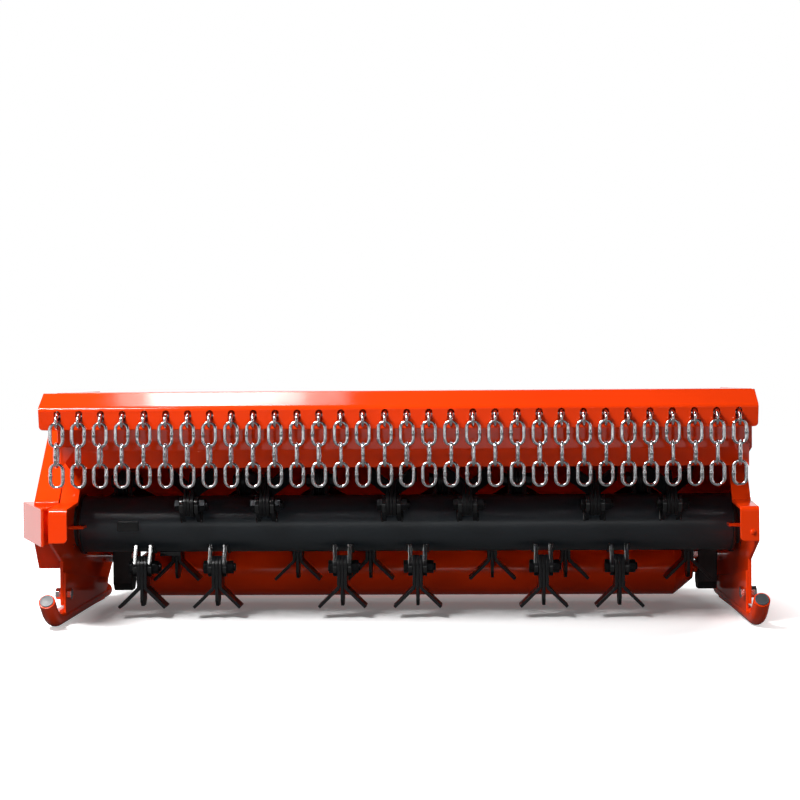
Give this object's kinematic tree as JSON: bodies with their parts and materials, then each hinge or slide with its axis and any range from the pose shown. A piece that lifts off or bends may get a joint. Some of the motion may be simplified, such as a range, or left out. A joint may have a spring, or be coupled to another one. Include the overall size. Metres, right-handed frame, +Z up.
{
  "type": "flail mower head",
  "caption": "Flail mower head: folded sheet hood with a chain curtain at the front, belt-driven rotor with swinging Y blades, rear roller, pipe skids and hitch lugs.",
  "frame": {"origin": "middle of the hitch pin line, on the mid-plane between the side plates", "axes": "+X along the rotor to the right seen from the front, +Y from the chain curtain to the rear, +Z up"},
  "size_m": [1.3875, 0.6146, 0.432],
  "materials": {
    "orange_paint": "glossy powder coat",
    "zinc_plate": "bright zinc plating",
    "cast_housing": "machined and oiled",
    "bearing_steel": "ground",
    "motor_paint": "satin black",
    "belt_rubber": "matt",
    "block_plastic": "matt",
    "plug_plastic": "matt",
    "rotor_paint": "gloss black",
    "blade_paint": "satin black",
    "dark_steel": "black oxide"
  },
  "bodies": {
    "frame": {"hood_sheet": "orange_paint", "front_wall": "orange_paint", "chain_plate": "orange_paint", "chain_rod": "zinc_plate", "top_links": "zinc_plate", "left_side_plate": "orange_paint", "right_side_plate": "orange_paint", "corner_gussets": "orange_paint", "drive_guard": "orange_paint", "guard_wedge": "orange_paint", "wrap_tabs": "orange_paint", "bearing_housings": "cast_housing", "rotor_bearings": "bearing_steel", "hydraulic_motor": "motor_paint", "drive_belts": "belt_rubber", "frame_bolts": "zinc_plate", "hitch_tube": "orange_paint", "hitch_lugs": "orange_paint", "roller_blocks": "block_plastic", "left_skid": "orange_paint", "right_skid": "orange_paint", "skid_plugs": "plug_plastic"},
    "motor": {"motor_pulley": "cast_housing"},
    "rotor": {"rotor_tube": "rotor_paint", "rotor_hubs": "bearing_steel", "end_rings": "rotor_paint", "balance_weights": "rotor_paint", "flail_lugs": "rotor_paint", "flail_bolts": "dark_steel", "rotor_pulley": "cast_housing"},
    "roller": {"rear_roller": "orange_paint", "roller_ends": "orange_paint"},
    "flail_01": {"flail_01": "blade_paint"},
    "flail_02": {"flail_02": "blade_paint"},
    "flail_03": {"flail_03": "blade_paint"},
    "flail_04": {"flail_04": "blade_paint"},
    "flail_05": {"flail_05": "blade_paint"},
    "flail_06": {"flail_06": "blade_paint"},
    "flail_07": {"flail_07": "blade_paint"},
    "flail_08": {"flail_08": "blade_paint"},
    "flail_09": {"flail_09": "blade_paint"},
    "flail_10": {"flail_10": "blade_paint"},
    "flail_11": {"flail_11": "blade_paint"},
    "flail_12": {"flail_12": "blade_paint"},
    "flail_13": {"flail_13": "blade_paint"},
    "flail_14": {"flail_14": "blade_paint"},
    "flail_15": {"flail_15": "blade_paint"},
    "flail_16": {"flail_16": "blade_paint"},
    "flail_17": {"flail_17": "blade_paint"},
    "flail_18": {"flail_18": "blade_paint"},
    "flail_19": {"flail_19": "blade_paint"},
    "flail_20": {"flail_20": "blade_paint"},
    "flail_21": {"flail_21": "blade_paint"},
    "flail_22": {"flail_22": "blade_paint"},
    "flail_23": {"flail_23": "blade_paint"},
    "flail_24": {"flail_24": "blade_paint"},
    "chain_section_1": {"chain_section_1": "zinc_plate"},
    "chain_section_2": {"chain_section_2": "zinc_plate"},
    "chain_section_3": {"chain_section_3": "zinc_plate"},
    "chain_section_4": {"chain_section_4": "zinc_plate"}
  },
  "joints": [
    {"name": "rotor_spin", "type": "hinge", "parent": "frame", "child": "rotor", "pos_m": [0, -0.341, -0.123], "axis": [1, 0, 0], "continuous": true},
    {"name": "motor_spin", "type": "hinge", "parent": "frame", "child": "motor", "pos_m": [-0.66, -0.17, 0.065], "axis": [1, 0, 0], "continuous": true},
    {"name": "roller_spin", "type": "hinge", "parent": "frame", "child": "roller", "pos_m": [0, -0.1, -0.236], "axis": [1, 0, 0], "continuous": true},
    {"name": "flail_01_swing", "type": "hinge", "parent": "rotor", "child": "flail_01", "pos_m": [-0.54855, -0.30014, -0.04281], "axis": [-1, 0, 0], "range_deg": [-180, 0]},
    {"name": "flail_02_swing", "type": "hinge", "parent": "rotor", "child": "flail_02", "pos_m": [-0.50085, -0.38186, -0.20319], "axis": [-1, 0, 0], "range_deg": [-48, 132]},
    {"name": "flail_03_swing", "type": "hinge", "parent": "rotor", "child": "flail_03", "pos_m": [-0.45315, -0.26081, -0.16386], "axis": [-1, 0, 0], "range_deg": [-138, 42]},
    {"name": "flail_04_swing", "type": "hinge", "parent": "rotor", "child": "flail_04", "pos_m": [-0.40545, -0.42119, -0.08214], "axis": [-1, 0, 0], "range_deg": [-180, 0]},
    {"name": "flail_05_swing", "type": "hinge", "parent": "rotor", "child": "flail_05", "pos_m": [-0.35775, -0.38186, -0.20319], "axis": [-1, 0, 0], "range_deg": [-48, 132]},
    {"name": "flail_06_swing", "type": "hinge", "parent": "rotor", "child": "flail_06", "pos_m": [-0.31005, -0.30014, -0.04281], "axis": [-1, 0, 0], "range_deg": [-180, 0]},
    {"name": "flail_07_swing", "type": "hinge", "parent": "rotor", "child": "flail_07", "pos_m": [-0.26235, -0.42119, -0.08214], "axis": [-1, 0, 0], "range_deg": [-180, 0]},
    {"name": "flail_08_swing", "type": "hinge", "parent": "rotor", "child": "flail_08", "pos_m": [-0.21465, -0.26081, -0.16386], "axis": [-1, 0, 0], "range_deg": [-138, 42]},
    {"name": "flail_09_swing", "type": "hinge", "parent": "rotor", "child": "flail_09", "pos_m": [-0.16695, -0.30014, -0.04281], "axis": [-1, 0, 0], "range_deg": [-180, 0]},
    {"name": "flail_10_swing", "type": "hinge", "parent": "rotor", "child": "flail_10", "pos_m": [-0.11925, -0.38186, -0.20319], "axis": [-1, 0, 0], "range_deg": [-48, 132]},
    {"name": "flail_11_swing", "type": "hinge", "parent": "rotor", "child": "flail_11", "pos_m": [-0.07155, -0.26081, -0.16386], "axis": [-1, 0, 0], "range_deg": [-138, 42]},
    {"name": "flail_12_swing", "type": "hinge", "parent": "rotor", "child": "flail_12", "pos_m": [-0.02385, -0.42119, -0.08214], "axis": [-1, 0, 0], "range_deg": [-180, 0]},
    {"name": "flail_13_swing", "type": "hinge", "parent": "rotor", "child": "flail_13", "pos_m": [0.02385, -0.38186, -0.20319], "axis": [-1, 0, 0], "range_deg": [-48, 132]},
    {"name": "flail_14_swing", "type": "hinge", "parent": "rotor", "child": "flail_14", "pos_m": [0.07155, -0.30014, -0.04281], "axis": [-1, 0, 0], "range_deg": [-180, 0]},
    {"name": "flail_15_swing", "type": "hinge", "parent": "rotor", "child": "flail_15", "pos_m": [0.11925, -0.42119, -0.08214], "axis": [-1, 0, 0], "range_deg": [-180, 0]},
    {"name": "flail_16_swing", "type": "hinge", "parent": "rotor", "child": "flail_16", "pos_m": [0.16695, -0.26081, -0.16386], "axis": [-1, 0, 0], "range_deg": [-138, 42]},
    {"name": "flail_17_swing", "type": "hinge", "parent": "rotor", "child": "flail_17", "pos_m": [0.21465, -0.30014, -0.04281], "axis": [-1, 0, 0], "range_deg": [-180, 0]},
    {"name": "flail_18_swing", "type": "hinge", "parent": "rotor", "child": "flail_18", "pos_m": [0.26235, -0.38186, -0.20319], "axis": [-1, 0, 0], "range_deg": [-48, 132]},
    {"name": "flail_19_swing", "type": "hinge", "parent": "rotor", "child": "flail_19", "pos_m": [0.31005, -0.26081, -0.16386], "axis": [-1, 0, 0], "range_deg": [-138, 42]},
    {"name": "flail_20_swing", "type": "hinge", "parent": "rotor", "child": "flail_20", "pos_m": [0.35775, -0.42119, -0.08214], "axis": [-1, 0, 0], "range_deg": [-180, 0]},
    {"name": "flail_21_swing", "type": "hinge", "parent": "rotor", "child": "flail_21", "pos_m": [0.40545, -0.38186, -0.20319], "axis": [-1, 0, 0], "range_deg": [-48, 132]},
    {"name": "flail_22_swing", "type": "hinge", "parent": "rotor", "child": "flail_22", "pos_m": [0.45315, -0.30014, -0.04281], "axis": [-1, 0, 0], "range_deg": [-180, 0]},
    {"name": "flail_23_swing", "type": "hinge", "parent": "rotor", "child": "flail_23", "pos_m": [0.50085, -0.42119, -0.08214], "axis": [-1, 0, 0], "range_deg": [-180, 0]},
    {"name": "flail_24_swing", "type": "hinge", "parent": "rotor", "child": "flail_24", "pos_m": [0.54855, -0.26081, -0.16386], "axis": [-1, 0, 0], "range_deg": [-138, 42]},
    {"name": "chain_section_1_swing", "type": "hinge", "parent": "frame", "child": "chain_section_1", "pos_m": [-0.49, -0.54474, 0.07691], "axis": [-1, 0, 0], "range_deg": [-25, 75]},
    {"name": "chain_section_2_swing", "type": "hinge", "parent": "frame", "child": "chain_section_2", "pos_m": [-0.17, -0.54474, 0.07691], "axis": [-1, 0, 0], "range_deg": [-25, 75]},
    {"name": "chain_section_3_swing", "type": "hinge", "parent": "frame", "child": "chain_section_3", "pos_m": [0.15, -0.54474, 0.07691], "axis": [-1, 0, 0], "range_deg": [-25, 75]},
    {"name": "chain_section_4_swing", "type": "hinge", "parent": "frame", "child": "chain_section_4", "pos_m": [0.47, -0.54474, 0.07691], "axis": [-1, 0, 0], "range_deg": [-25, 75]}
  ],
  "couplings": [
    {"joint": "motor_spin", "follows": "rotor_spin", "ratio": 1}
  ]
}
